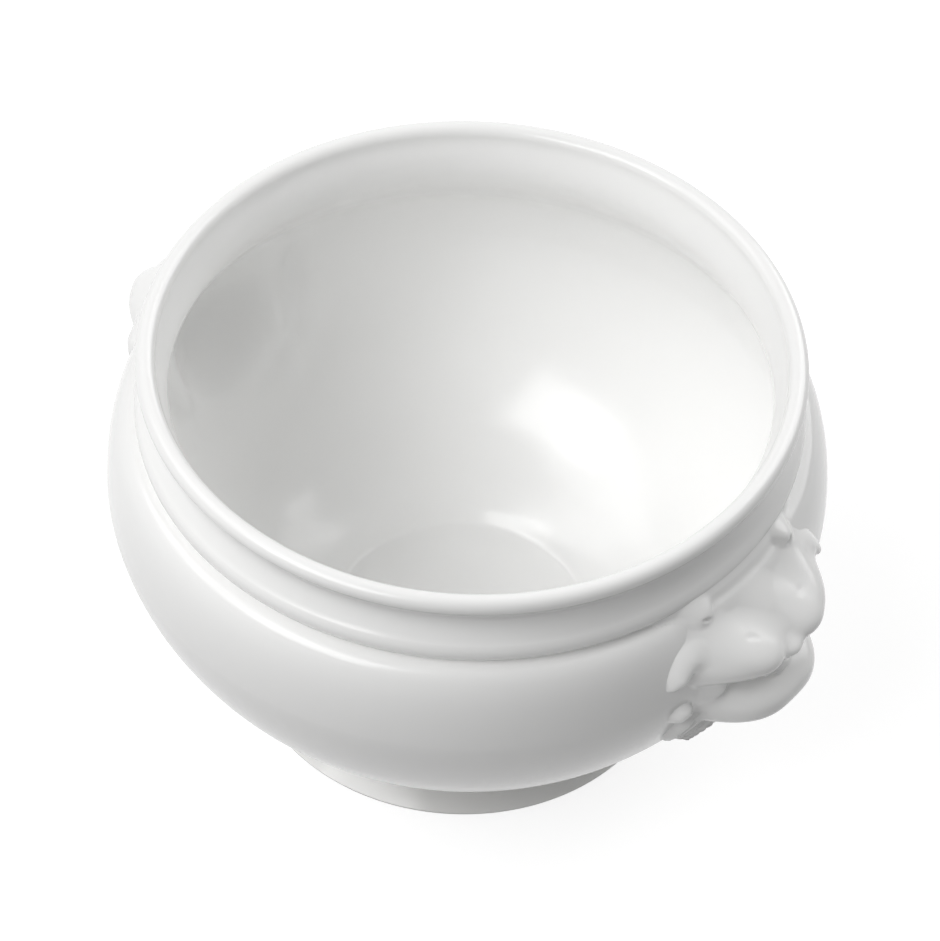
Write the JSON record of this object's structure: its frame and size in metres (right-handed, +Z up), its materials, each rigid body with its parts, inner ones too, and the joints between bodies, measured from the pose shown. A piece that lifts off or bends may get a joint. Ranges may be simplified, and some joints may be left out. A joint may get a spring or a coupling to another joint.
{
  "type": "footed soup bowl",
  "caption": "White glazed porcelain soup bowl with a rolled rim, neck ring, round belly, spreading foot and a hollow lion's head handle on each side.",
  "frame": {"origin": "on the standing surface, under the middle of the bowl", "axes": "+Z up along the bowl's axis, X through the two lion's heads, Y across them"},
  "size_m": [0.1506, 0.1312, 0.0824],
  "materials": {
    "white_glaze": "gloss",
    "foot_glaze": "gloss with a bare standing edge"
  },
  "bodies": {
    "root": {"bowl_body": "white_glaze", "foot_ring": "foot_glaze", "lion_head_right": "white_glaze", "lion_head_left": "white_glaze"}
  },
  "joints": []
}
